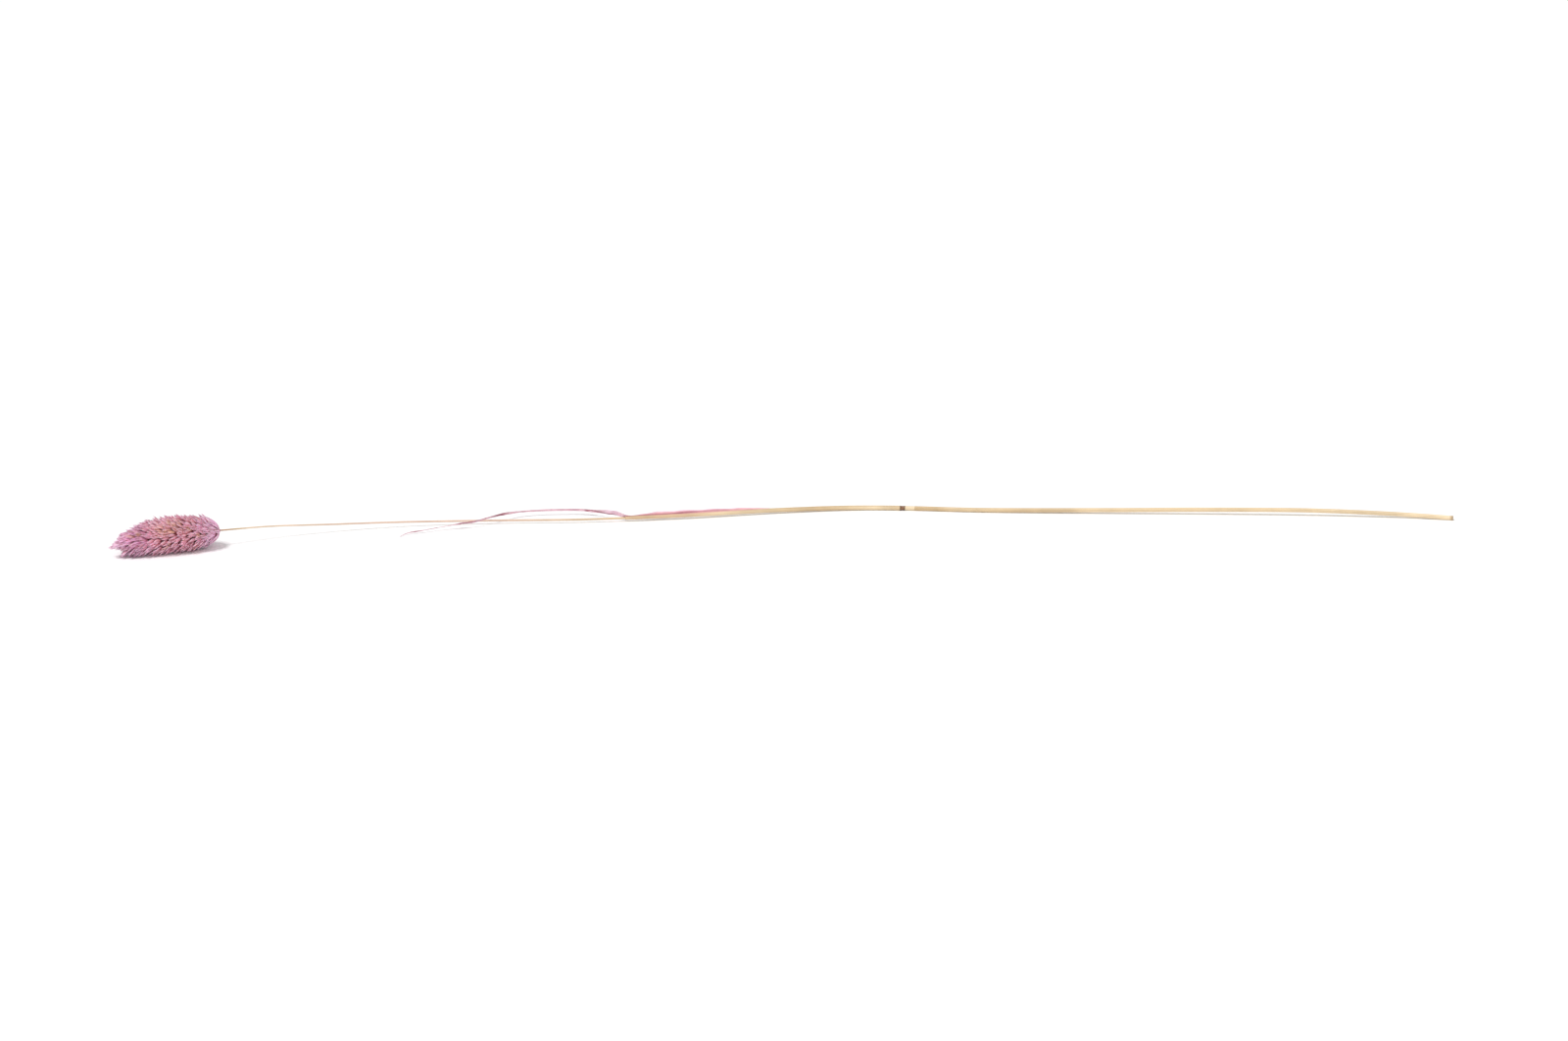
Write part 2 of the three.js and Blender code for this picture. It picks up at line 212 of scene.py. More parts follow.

# The blade's line, and its taper, its twist in degrees, how far its crease stands out and where
# the crease lies across it, as (share of its length, value). The knots of its twist, where painted
# shade darkens it, are (share, reach).
BLADE_LINE = [
    (-81, 0.8, 3.3), (-86, 3.1, 3.2), (-91.5, 6.4, 2.65), (-98, 8.3, 2.7), (-108, 8.4, 2.75),
    (-119, 7.6, 2.65), (-128.5, 4.7, 2.9), (-135.5, -0.2, 3.35), (-142, -6.4, 3.6),
    (-148.5, -11, 3.1), (-156, -13, 2.4), (-165, -15.8, 1.7), (-174, -19.6, 1.2),
    (-180, -22, 0.85), (-183.5, -26, 0.34),
]
BLADE_ROOT_ANGLE = 4.19
BLADE_ROOTS = [(3, 0.17), (0.5, 0.25)]
BLADE_TAPER = [
    (0, 0.3), (0.02, 0.75), (0.05, 1.05), (0.1, 1.05), (0.125, 0.8), (0.15, 0.62), (0.2, 0.54),
    (0.33, 0.46), (0.46, 0.46), (0.55, 0.54), (0.61, 0.34), (0.68, 0.36), (0.73, 0.58),
    (0.78, 0.3), (0.92, 0.26), (1, 0.06),
]
BLADE_TWISTS = [
    (0, -70), (0.04, -82), (0.13, -84), (0.2, -138), (0.33, -136), (0.47, -160), (0.56, -75),
    (0.66, -118), (0.75, -5), (0.86, -40), (0.93, 35), (1, 20),
]
BLADE_FOLDS = [
    (0, 0.2), (0.08, 0.45), (0.19, 0.5), (0.24, 0.35), (0.52, 0.35), (0.56, 0.7), (0.6, 0.35),
    (0.68, 0.5), (0.735, 0.9), (0.8, 0.35), (1, 0.3),
]
BLADE_CREASES = [
    (0, 0), (0.05, 0.95), (0.11, 0.9), (0.15, 0.3), (0.19, -0.6), (0.205, -0.6), (0.24, 0), (1, 0),
]
BLADE_KNOT_SHADES = [(0.195, 0.012), (0.556, 0.022), (0.728, 0.034), (0.922, 0.02)]
BLADE_ROWS = 220
BLADE_COLUMNS = 9

# The stage. Each light has a name, a kind, the place in metres that it shines from, a strength, and
# the setting that makes it soft. The camera's places are in the tables' millimetres.
FLOOR_REACH = 4
ROOM_LIGHT = 0.53
LIGHTS = (
    ("key", "SUN", (-0.4, -0.35, 1), 1.95, "angle", math.radians(22)),
    ("fill", "AREA", (0.3, -1.9, 1.3), 10, "size", 2),
)
CAMERA_AT = (0, -1704.8, 553.9)
CAMERA_AIM = (0, 0, 0)
LENS_MM = 85


def hex_colour(code):
    """Linear red, green and blue of an sRGB hex colour."""
    srgb = np.array([code >> 16 & 255, code >> 8 & 255, code & 255]) / 255
    return np.where(srgb <= 0.04045, srgb / 12.92, ((srgb + 0.055) / 1.055) ** 2.4)


def size_property(name, description, millimetres):
    """A length that a user may change, in metres, from a default in millimetres."""
    return bpy.props.FloatProperty(
        name=name, description=description, default=millimetres * MM, min=0, unit="LENGTH",
        precision=5,
    )


def colour_property(name, description, code):
    """A colour that a user may change, from an sRGB hex default."""
    return bpy.props.FloatVectorProperty(
        name=name, description=description, default=hex_colour(code), min=0, max=1, subtype="COLOR"
    )


class PhalarisSizes(bpy.types.PropertyGroup):
    """Sizes of the stem's fine pieces."""

    spikelet_length: size_property("Spikelet length", "Length of a full-grown spikelet", 6)
    spikelet_width: size_property("Spikelet width", "Width of a spikelet across its keels", 1.65)
    glume_wall: size_property("Glume thickness", "Thickness of a glume's papery wall", 0.08)
    hair_length: size_property("Hair length", "Length of the hairs on the glumes' keels", 0.6)
    blade_width: size_property("Blade width", "Width of the leaf blade where it is widest", 2.3)
    blade_wall: size_property("Blade thickness", "Thickness of the dried blade", 0.16)
    sheath_wall: size_property("Sheath thickness", "Thickness of a leaf sheath's wall", 0.3)


class PhalarisColours(bpy.types.PropertyGroup):
    """Colours of the stem's finishes."""

    lilac: colour_property("Lilac glumes", "Glumes that took the most dye", 0xEF9ECE)
    rose: colour_property("Rose glumes", "Glumes of the head's middle", 0xF9ACB4)
    undyed: colour_property("Undyed glumes", "Glumes that took no dye", 0xEABE84)
    # The pale of the glumes' wings and tips, also mixed in as painted light on the head's upper and
    # lower sides.
    pale_edge_and_painted_light: colour_property("Glume edges", "Pale wing along a glume's keel", 0xFAD6EA)
    # The head core's colour, also painted as shade at the glumes' feet and where the culm leaves
    # the head.
    core: colour_property("Head core", "Stalk and chaff deep in the head", 0xB4606A)
    straw: colour_property("Straw", "Dried stem", 0xDAC29E)
    pale_straw: colour_property("Pale straw", "Young, unweathered stretches of stem", 0xEAD5B4)
    dark_straw: colour_property("Dark straw", "Weathered stretches and fibres", 0xC6A980)
    pink_straw: colour_property("Tinged straw", "Stem near the head, faintly dyed", 0xDDBFAE)
    node_brown: colour_property("Node brown", "Band round the stem's node", 0x6B452A)
    leaf: colour_property("Dyed leaf", "Leaf blade along most of its length", 0xD8B9C2)
    leaf_base: colour_property("Leaf base", "Palest lilac, at the blade's base", 0xFADCEA)
    # Colour of the leaf's veins, also painted as shade on its folds, on the knots of its twist and
    # on the sheath margin's fold.
    vein_and_fold_shade: colour_property("Leaf folds", "Folds, knots and veins of the leaf", 0xA86878)
    sheath_pink: colour_property("Sheath margin", "Dye on the flag leaf's sheath", 0xEFBBBC)
    floor: colour_property("Floor", "Plain pale floor", 0xFAFAFA)


def chosen(context):
    """The sizes and the colours that the scene has."""
    return context.scene.phalaris_sizes, context.scene.phalaris_colours


class Line:
    """A smooth line through points, read by its length.

    Between two points it is the cubic that leaves and reaches them along the centripetal
    Catmull-Rom slopes, which weigh each neighbour by the square root of its distance.
    """

    def __init__(self, stops, steps=120):
        points = np.asarray(stops, float)
        ends = 2 * points[[0, -1]] - points[[1, -2]]
        run = np.vstack([ends[:1], points, ends[1:]])
        a, b, c, d = (run[i : i + len(points) - 1] for i in range(4))
        gaps = ((a, b), (b, c), (c, d))
        before, here, after = (np.linalg.norm(q - p, axis=1)[:, None] ** 0.5 for p, q in gaps)
        leave = ((b - a) / before - (c - a) / (before + here) + (c - b) / here) * here
        reach = ((c - b) / here - (d - b) / (here + after) + (d - c) / after) * here
        t = np.linspace(0, 1, steps, endpoint=False)[:, None, None]
        square = 3 * (c - b) - 2 * leave - reach
        cube = 2 * (b - c) + leave + reach
        drawn = (b + leave * t + square * t**2 + cube * t**3).transpose(1, 0, 2).reshape(-1, 3)
        self.points = np.vstack([drawn, points[-1:]])
        steps_long = np.linalg.norm(np.diff(self.points, axis=0), axis=1)
        self.places = np.concatenate([[0], np.cumsum(steps_long)])
        self.length = self.places[-1]
        self.tangents = np.gradient(self.points, self.places, axis=0)

    def frames(self, at):
        """Origin, along, side and lift at places on the line: side is level, lift points up."""
        at = np.asarray(at, float)
        origin, along = (
            np.stack([np.interp(at, self.places, values) for values in rows.T], -1)
            for rows in (self.points, self.tangents)
        )
        along = unit(along)
        side = unit(np.cross(along, [0, 0, 1]))
        return origin, along, side, np.cross(side, along)

    def beside(self, at, radius, angle):
        """Points round the line: distance along it, radius, and angle from the downward side."""
        at, radius, angle = np.broadcast_arrays(at, radius, angle)
        origin, _, side, lift = self.frames(at)
        out = side * np.sin(angle)[..., None] - lift * np.cos(angle)[..., None]
        return origin + radius[..., None] * out


def unit(vectors):
    """Vectors of the same direction and of length 1."""
    return vectors / np.linalg.norm(vectors, axis=-1, keepdims=True)


def draw(index, kind):
    """A draw between -1 and 1 that is the same for the same whole numbers every time."""
    wave = np.sin(index * 12.9898 + kind * 78.233) * 43758.5453
    return 2 * (wave - np.floor(wave)) - 1


def value_at(pairs, place):
    """A value read off (place, value) pairs, in a straight line between neighbours."""
    stops, values = zip(*pairs)
    return np.interp(place, stops, values)


def eased(pairs, place):
    """As value_at, but level at each pair, with an S between neighbours."""
    stops, values = (np.array(column, float) for column in zip(*pairs))
    step = np.interp(place, stops, np.arange(len(stops)))
    whole = np.minimum(np.floor(step).astype(int), len(stops) - 2)
    part = step - whole
    part = part * part * (3 - 2 * part)
    return values[whole] + (values[whole + 1] - values[whole]) * part


def smooth_step(low, high, value):
    """0 below low, 1 above high, and an S between them."""
    part = np.clip((value - low) / (high - low), 0, 1)
    return part * part * (3 - 2 * part)


def bell(value, middle, reach, power=2):
    """1 at the middle, less to both sides: e to minus a power of the distance over the reach."""
    return np.exp(-(((value - middle) / reach) ** power))


STEM = Line(CENTRE_LINE)


def pressed_flat(points, softness=0.35, rest=0.08):
    """Points kept above the surface by rest: a height h over that becomes half the sum of h and the
    root of h squared plus softness squared, which is nearly h again well above it."""
    height = points[..., 2] - rest
    points = points.copy()
    points[..., 2] = rest + 0.5 * (height + np.sqrt(height**2 + softness**2))
    return points


def as_sheet(points, tint):
    """A sheet: points, across and along coordinates from 0 to 1, and tint, for make_piece."""
    rows, columns = points.shape[1:3]
    across, along = np.meshgrid(np.linspace(0, 1, columns), np.linspace(0, 1, rows))
    uv = np.broadcast_to(np.stack([across, along], -1), (*points.shape[:3], 2))
    return points, uv, np.broadcast_to(tint, points.shape)


def make_piece(context, name, sheet, material, node, wall=0.0, offset=-1.0):
    """Adds one piece made of a sheet: points, uv and tint on a (copies, rows, columns) grid.

    Neighbours on the grid make its faces. Points that fall together are welded, which closes seams
    and poles. With a wall, the open sheet gets that thickness; without, closed ones face outward.
    """
    points, uv, tint = sheet
    index = np.arange(points[..., 0].size).reshape(points.shape[:3])
    quads = (index[:, :-1, :-1], index[:, 1:, :-1], index[:, 1:, 1:], index[:, :-1, 1:])
    corners = np.stack(quads, -1).reshape(-1, 4)
    tint = np.column_stack([tint.reshape(-1, 3), np.ones(index.size)])

    mesh = bpy.data.meshes.new(name)
    mesh.from_pydata((points.reshape(-1, 3) - PART_ORIGIN) * MM, [], corners.tolist())
    mesh.uv_layers.new(name="Surface").uv.foreach_set("vector", uv.reshape(-1, 2)[corners].ravel())
    shade = mesh.color_attributes.new(name="Tint", type="FLOAT_COLOR", domain="POINT")
    shade.data.foreach_set("color", tint.ravel())

    shell = bmesh.new()
    shell.from_mesh(mesh)
    bmesh.ops.remove_doubles(shell, verts=shell.verts, dist=WELD * MM)
    if not wall:
        bmesh.ops.recalc_face_normals(shell, faces=shell.faces)
    shell.to_mesh(mesh)
    shell.free()
    mesh.polygons.foreach_set("use_smooth", np.ones(len(mesh.polygons), bool))
    mesh.materials.append(material)
    mesh.update()

    piece = bpy.data.objects.new(name, mesh)
    context.scene.collection.objects.link(piece)
    if wall:
        solid = piece.modifiers.new("Wall", "SOLIDIFY")
        solid.thickness = wall * MM
        solid.offset = offset
    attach(piece, BODY)
    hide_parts(node)


def tones(stops, at):
    """The colour at each place on the stem, blended between (place, colour) stops."""
    places, colours = zip(*stops)
    return np.stack([np.interp(at, places, channel) for channel in np.array(colours).T], -1)


def mix(first, second, share):
    """Two colours, or grids of them, mixed by a share."""
    first = np.asarray(first)
    return first + (np.asarray(second) - first) * share


def round_stem(at, radius, angle, stops):
    """A sheet round the stem: each place along it has a row of points at those angles, at that
    radius and in the tone of its place. A row of no radius is a pole."""
    points = STEM.beside(at[:, None], radius, angle)[None]
    uv = np.stack(np.broadcast_arrays(angle / math.tau, at[:, None] / STEM.length), -1)[None]
    return points, uv, np.broadcast_to(tones(stops, at)[:, None], points.shape)


def straw_stops(colours, start, shades):
    """Stops for tones from a start on the stem and (distance from it, shade) pairs."""
    ends = colours.pale_straw, colours.dark_straw
    straw = colours.straw
    return [(start + past, mix(straw, ends[shade > 0], abs(shade))) for past, shade in shades]


def linear(colour):
    """A colour with an alpha of 1, as a socket or a ramp takes it."""
    return (*colour, 1.0)


def add_node(tree, kind, settings=None, inputs=None, stops=None):
    """Adds a shader node with its settings, its sockets' values or links, and a ramp's stops."""
    node = tree.nodes.new("ShaderNode" + kind)
    for name, value in (settings or {}).items():
        setattr(node, name, value)
    for key, value in (inputs or {}).items():
        if isinstance(value, bpy.types.NodeSocket):
            tree.links.new(value, node.inputs[key])
        else:
            node.inputs[key].default_value = value
    if stops:
        elements = node.color_ramp.elements
        elements.remove(elements[1])
        elements[0].position, elements[0].color = stops[0]
        for place, colour in stops[1:]:
            elements.new(place).color = colour
    return node


def new_material(name):
    """A material and its empty node tree."""
    material = bpy.data.materials.new(name)
    material.use_nodes = True
    material.node_tree.nodes.clear()
    return material, material.node_tree


def finish_material(tree, bump=None, **sockets):
    """Ends a tree in a shader with those sockets, named with underscores for spaces, and with a
    bump given as (strength, depth in millimetres, height)."""
    if bump:
        strength, depth, height = bump
        inputs = {"Strength": strength, "Distance": depth * MM, "Height": height}
        sockets["Normal"] = add_node(tree, "Bump", inputs=inputs).outputs["Normal"]
    inputs = {name.replace("_", " "): value for name, value in sockets.items()}
    shader = add_node(tree, "BsdfPrincipled", inputs=inputs)
    add_node(tree, "OutputMaterial", inputs={"Surface": shader.outputs["BSDF"]})


def patches(tree, size, detail=3):
    """Soft irregular patches of a size in millimetres, as a height from 0 to 1."""
    where = add_node(tree, "TexCoord").outputs["Object"]
    inputs = {"Vector": where, "Scale": 1 / (size * MM), "Detail": detail}
    return add_node(tree, "TexNoise", inputs=inputs).outputs["Fac"]


def crests(tree, count):
    """Lines along a surface, as a height: the cosine of so many turns from edge to edge."""
    uv = add_node(tree, "UVMap", {"uv_map": "Surface"})
    across = add_node(tree, "SeparateXYZ", inputs={0: uv.outputs["UV"]}).outputs["X"]
    inputs = {0: across, 1: count * math.tau}
    turns = add_node(tree, "Math", {"operation": "MULTIPLY"}, inputs)
    cosine = add_node(tree, "Math", {"operation": "COSINE"}, {0: turns.outputs[0]})
    return cosine.outputs[0]


def streaked(tree, height, low, high, strength, colour):
    """The piece's tint with a share of a colour that grows as the height goes from low to high."""
    tint = add_node(tree, "Attribute", {"attribute_name": "Tint"}).outputs["Color"]
    stops = [(low, (0, 0, 0, 1)), (high, (1, 1, 1, 1))]
    ramp = add_node(tree, "ValToRGB", inputs={0: height}, stops=stops)
    inputs = {0: ramp.outputs["Color"], 1: strength}
    share = add_node(tree, "Math", {"operation": "MULTIPLY"}, inputs).outputs[0]
    inputs = {0: share, 6: tint, 7: linear(colour)}
    return add_node(tree, "Mix", {"data_type": "RGBA"}, inputs).outputs[2]


def shaded(tree, colour, height, stops):
    """A colour multiplied by a tone that goes with the height, between (height, tone) stops."""
    ramp = add_node(tree, "ValToRGB", inputs={0: height}, stops=stops)
    settings = {"data_type": "RGBA", "blend_type": "MULTIPLY"}
    inputs = {0: 1.0, 6: colour, 7: ramp.outputs["Color"]}
    return add_node(tree, "Mix", settings, inputs).outputs[2]


def glume_material(colours):
    """Dyed glume: dry papery bract, matt, with pale wings and fine nerves. Thin enough to glow a
    little where light passes through."""
    material, tree = new_material("dyed_papery_glume")
    # Ten nerves across a glume that is 2.5 mm wide unfolded, 0.25 mm apart.
    nerves = crests(tree, 10)
    veined = streaked(tree, nerves, 0.55, 0.95, 0.3, colours.core)
    # Flecks 1.1 mm wide, where the dye has taken unevenly.
    stops = [(0.35, (0.86, 0.84, 0.84, 1)), (0.7, (1.1, 1.08, 1.1, 1))]
    base = shaded(tree, veined, patches(tree, 1.1), stops)
    finish_material(
        tree, (0.35, 0.05, nerves), Base_Color=base, Roughness=0.72, Specular_IOR_Level=0.3,
        Subsurface_Weight=0.25, Subsurface_Radius=(1.0, 0.5, 0.6), Subsurface_Scale=0.4 * MM,
        Sheen_Weight=0.25, Sheen_Roughness=0.5,
    )
    return material


def core_material(colours):
    """Chaff and stalk deep in the head: dull, dark with dye and with painted shade, broken by fine
    fibres.
    """
    material, tree = new_material("dyed_chaff")
    # Scraps of chaff 0.8 mm wide.
    chaff = patches(tree, 0.8, 4)
    core = np.array(colours.core)
    # Painted shade: the ramp darkens the core's colour to between 0.4 and 0.75 of it.
    stops = [(0.3, linear(core * 0.4)), (0.75, linear(core * 0.75))]
    ramp = add_node(tree, "ValToRGB", inputs={0: chaff}, stops=stops)
    finish_material(
        tree, (0.8, 0.2, chaff), Base_Color=ramp.outputs["Color"], Roughness=0.9,
        Specular_IOR_Level=0.2,
    )
    return material


def straw_material(name, colours, roughness=0.42):
    """Dried grass stem: waxy and smooth, with fine ribs along it and weathered streaks over the
    tone that each place along the stem has."""
    material, tree = new_material(name)
    uv = add_node(tree, "UVMap", {"uv_map": "Surface"}).outputs["UV"]
    # Fibres about 0.15 mm wide round a stem 2 mm thick, and 12 mm long.
    inputs = {"Vector": uv, "Scale": (42, STEM.length / 12, 1)}
    stretched = add_node(tree, "Mapping", inputs=inputs).outputs["Vector"]
    inputs = {"Vector": stretched, "Scale": 1, "Detail": 2}
    noise = add_node(tree, "TexNoise", {"noise_dimensions": "2D"}, inputs)
    fibres = noise.outputs["Fac"]
    fibrous = streaked(tree, fibres, 0.48, 0.8, 0.4, colours.dark_straw)
    # Weathered blotches 18 mm wide.
    stops = [(0.4, (0.88, 0.86, 0.82, 1)), (0.62, (1.06, 1.05, 1.02, 1))]
    base = shaded(tree, fibrous, patches(tree, 18), stops)
    finish_material(
        tree, (0.5, 0.04, fibres), Base_Color=base, Roughness=roughness, Specular_IOR_Level=0.45,
        Coat_Weight=0.12, Coat_Roughness=0.3,
    )
    return material


def leaf_material(colours):
    """Dyed leaf: thin, dry and translucent, with close parallel veins over a tint whose folds are
    darker with painted shade.
    """
    material, tree = new_material("dyed_dry_leaf")
    # Nine veins across a blade 2.3 mm wide, 0.25 mm apart.
    veins = crests(tree, 9)
    veined = streaked(tree, veins, 0.3, 0.95, 0.3, colours.vein_and_fold_shade)
    # Blotches of dye 5 mm wide.
    stops = [(0.35, (0.86, 0.8, 0.83, 1)), (0.65, (1.08, 1.06, 1.06, 1))]
    base = shaded(tree, veined, patches(tree, 5), stops)
    finish_material(
        tree, (0.4, 0.04, veins), Base_Color=base, Roughness=0.6, Specular_IOR_Level=0.35,
        Subsurface_Weight=0.3, Subsurface_Radius=(1.0, 0.6, 0.7), Subsurface_Scale=0.5 * MM,
    )
    return material


def floor_material(colours):
    """Matt white paper sweep: plain and pale."""
    material, tree = new_material("matt_white_paper")
    finish_material(tree, Base_Color=linear(colours.floor), Roughness=0.9, Specular_IOR_Level=0.1)
    return material


def core_sheet(colours):
    """The head's core: its profile turned round the head's line, with a pole past each end. A sine
    round it times a sine along it makes it lumpy by a twentieth."""
    first, last = CORE_PROFILE[0][0] - 0.6, CORE_PROFILE[-1][0] + 0.4
    at = np.linspace(first, last, 56)
    radius = value_at([(first, 0), *CORE_PROFILE, (last, 0)], at)[:, None]
    angle = np.linspace(0, math.tau, CORE_SIDES + 1)
    lumps = 1 + 0.05 * np.sin(5 * angle + at[:, None]) * np.sin(1.9 * at[:, None])
    return round_stem(at, radius * lumps, angle, [(0, colours.core), (1, colours.core)])


class Spikelets:
    """Where each spikelet of the head sits, which way it points, and how long and wide it is.

    Each one turns on by the golden angle from the last. Its place goes with its share to the power
    of the crowding. It points towards the tip, leant outwards and swept sideways.
    """

    def __init__(self, sizes):
        self.index = np.arange(SPIKELETS)
        share = (self.index + 0.5) / SPIKELETS
        run = LAST_SPIKELET_AT - FIRST_SPIKELET_AT
        self.at = FIRST_SPIKELET_AT + run * share**CROWDING + JITTER_AT * self.draw(1)
        self.angle = self.index * GOLDEN_ANGLE + JITTER_ANGLE * self.draw(2)
        origin, along, _, _ = STEM.frames(self.at)
        outward = STEM.beside(self.at, 1.0, self.angle) - origin
        self.above = outward @ SEEN_UP
        upper = np.maximum(0, np.cos(self.angle - UPPER_TUFT_ANGLE))
        upper *= 1 - smooth_step(*UPPER_TUFT_FADES, share)
        lower = np.maximum(0, -self.above) * (1 - smooth_step(*LOWER_TUFT_FADES, share))
        lean = value_at(SPIKELET_LEANS, share) + JITTER_LEAN * self.draw(3)
        lean = np.radians(lean + UPPER_TUFT_LEAN * upper + LOWER_TUFT_LEAN * lower)[:, None]
        sweep = np.radians(SPIKELET_SWEEP + JITTER_SWEEP * self.draw(19))[:, None] * np.sin(lean)
        straight = outward * np.sin(lean) - along * np.cos(lean)
        self.forward = straight * np.cos(sweep) + np.cross(outward, along) * np.sin(sweep)
        self.keel = outward * np.cos(lean) + along * np.sin(lean)
        self.across = unit(np.cross(self.forward, self.keel))
        core = value_at(CORE_PROFILE, self.at) * (1 - UPPER_TUFT_THINNER * upper)
        self.foot = STEM.beside(self.at, core, self.angle)
        parted = value_at(PARTING_LENGTHS, self.above)
        parted[(share < PARTING_FIRST) & (self.above < PARTING_BELOW)] = PARTING_SHORT
        grown = value_at(SPIKELET_LENGTHS, share) * (1 + JITTER_LENGTH * self.draw(4))
        grown *= mix(parted, 1, smooth_step(*PARTING_FADES, share))
        grown *= 1 + value_at(LOWER_GROWTH, share) * smooth_step(0.5, 0.85, -self.above)
        room = (HEAD_TOP - self.foot[:, 2]) / np.maximum(self.forward[:, 2], 0.01)
        self.length = np.minimum(sizes.spikelet_length / MM * grown, room)
        self.width = sizes.spikelet_width / MM * value_at(SPIKELET_WIDTHS, share)
        self.roll = JITTER_ROLL * self.draw(5)
        self.bow = value_at(SPIKELET_BOWS, share) + JITTER_BOW * self.draw(12)

    def draw(self, kind):
        """One draw for each spikelet."""
        return draw(self.index, kind)

    def placed(self, x, y, z):
        """Points of every spikelet from grids of x across, y along and z out of its flat side, all
        rolled about its length, then bowed in by the square of y."""
        roll = self.roll[EACH]
        x, z = x * np.cos(roll) - z * np.sin(roll), x * np.sin(roll) + z * np.cos(roll)
        z = z - self.bow[EACH] * np.maximum(0, y) ** 2
        parts = ((x, self.across), (y, self.forward), (z, self.keel))
        moved = sum(np.broadcast_to(part, x.shape)[..., None] * axis[EACH] for part, axis in parts)
        points = self.foot[EACH] + moved
        return pressed_flat(points.reshape(-1, *points.shape[2:]))


def glume_points(spikelets):
    """Two glumes a spikelet, each folded on its keel at the spikelet's edge.

    Along a glume its half width follows the outline table. Round it, from the back margin past the
    keel to the front margin, width goes with the cosine to the power 0.8 and height with the sine.
    A thin wing widens the keel. The tips part to the sides by the cube of the share along the
    glume, and up and down by its square.
    """
    side = np.array([1.0, -1.0])[:, None, None]
    along = np.linspace(0, 1, GLUME_ROWS)[:, None]
    turn = side * np.array(GLUME_PLACES) * math.pi / 2
    uneven = 1 - SECOND_SHORTER * (side < 0) + JITTER_UNEVEN * side * spikelets.draw(13)[EACH]
    spread = (GLUME_SPREAD + JITTER_SPREAD * spikelets.draw(6))[EACH]
    apart = side * (TIPS_APART + JITTER_TIPS * spikelets.draw(14)[EACH])
    swell = np.where(turn > 0, FRONT_SWELL, BACK_SWELL) * eased(GLUME_SWELLING, along)
    half = spikelets.width[EACH] / 2 * value_at(GLUME_OUTLINE, along)
    wing = WING_WIDTH * value_at(KEEL_WING, along) * (np.abs(turn) < 0.2)
    x = side * (GLUME_APART + half * np.cos(turn) ** 0.8 + wing + spread * along**3)
    y = -SPIKELET_SUNK + (spikelets.length[EACH] * uneven + SPIKELET_SUNK) * along
    z = swell * np.sin(turn) + apart * along**2
    return spikelets.placed(x, y, z)


def glume_tints(spikelets, colours):
    """Each glume's colour. Lilac gathers at the head's tip and round the neck, rose in the middle,
    and undyed straw shows in patches on the upper front. Tips and keels are paler. Painted shade
    darkens the feet and a band a quarter of the way from the tip, and painted light pales the
    glumes that face up and down."""
    place = spikelets.at / HEAD_LENGTH
    lilac = 0.2 + 0.8 * eased(LILAC_SHARES, place) + 0.25 * spikelets.draw(7)
    lilac = np.clip(lilac, 0, 1)[EACH][..., None]
    toward = smooth_step(0.7, 0.98, np.cos(spikelets.angle - UNDYED_ANGLE))
    undyed = bell(place, UNDYED_PLACE, UNDYED_REACH) * toward * (0.7 + 0.7 * spikelets.draw(8))
    stray = 0.7 * smooth_step(0.86, 0.95, spikelets.draw(9))
    undyed = np.maximum(np.clip(undyed, 0, 0.9), stray)[EACH][..., None]
    pale = eased(PALE_SHARES, place)
    # Painted light: the glumes that face up and those that face down are paled.
    pale += eased(PAINTED_LIGHT_ABOVE, place) * smooth_step(0.5, 0.95, spikelets.above)
    pale += eased(PAINTED_LIGHT_BELOW, place) * smooth_step(0.5, 0.9, -spikelets.above)
    pale = np.clip(pale, 0, 0.9)[EACH][..., None]
    # Each spikelet's tone varies at random, with painted shade in a band a quarter of the way from
    # the tip.
    tone_and_painted_shade = (1.05 + 0.1 * spikelets.draw(10) - 0.1 * bell(place, 0.27, 0.1))[EACH][..., None]

    along = np.linspace(0, 1, GLUME_ROWS)[:, None, None]
    from_keel = np.abs(np.array(GLUME_PLACES))[:, None]
    body = mix(colours.rose, colours.lilac, np.clip(lilac + 0.4 * (along - 0.5), 0, 1))
    body = mix(body, colours.undyed, undyed * (1 - 0.5 * along))
    body = mix(body, colours.pale_edge_and_painted_light, pale)
    edge = 0.75 * smooth_step(0.2, 0.6, along) * (1 - smooth_step(0.05, 0.45, from_keel))
    body = mix(body, colours.pale_edge_and_painted_light, np.maximum(edge, 0.7 * smooth_step(0.7, 1, along)))
    # Painted shade: towards its foot each glume darkens to the core's colour, deep in the head.
    body = mix(np.array(colours.core) * 1.1, body, 0.4 + 0.6 * smooth_step(0.05, 0.5, along))
    shape = (SPIKELETS, 2, GLUME_ROWS, len(GLUME_PLACES), 3)
    return np.broadcast_to(body * tone_and_painted_shade, shape).reshape(-1, *shape[2:])


def floret_sheet(spikelets, colours):
    """The floret shut between each pair of glumes: a spindle with a pole at both ends, whose radius
    goes with the sine of its length to the power 0.7."""
    along = np.linspace(0, 1, 6)[:, None]
    turn = np.linspace(0, math.tau, 7)
    thick = np.sin(math.pi * along) ** 0.7 * (along > 0) * (along < 1)
    x = FLORET_WIDTH * spikelets.width[EACH] * thick * np.cos(turn)
    y = np.broadcast_to(FLORET_LENGTH * spikelets.length[EACH] * along, x.shape)
    points = spikelets.placed(x, y, FLORET_R * thick * np.sin(turn))
    tone = 0.85 * mix(colours.undyed, colours.rose, (0.5 + 0.4 * spikelets.draw(15))[EACH])
    return as_sheet(points, tone)


